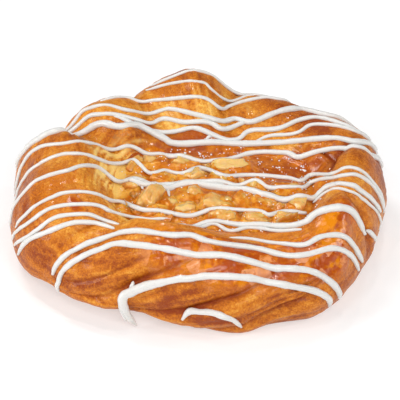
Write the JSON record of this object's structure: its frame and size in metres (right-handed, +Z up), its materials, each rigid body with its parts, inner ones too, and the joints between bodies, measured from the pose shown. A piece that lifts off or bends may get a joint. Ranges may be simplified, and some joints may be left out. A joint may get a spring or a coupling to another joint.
{
  "type": "apple danish",
  "caption": "Round danish pastry of coiled puffy dough with diced apple in jelly in its middle and strings of white icing across it.",
  "frame": {"origin": "middle of the danish's box at its base, on the surface that it rests on", "axes": "+Z up, +X to the right along the strings of icing, +Y to the back"},
  "size_m": [0.1192, 0.1056, 0.039],
  "materials": {
    "crust": "satin",
    "apple_filling": "gloss",
    "icing": "satin"
  },
  "bodies": {
    "root": {"pastry": "crust", "apple_filling": "apple_filling"}
  },
  "joints": []
}
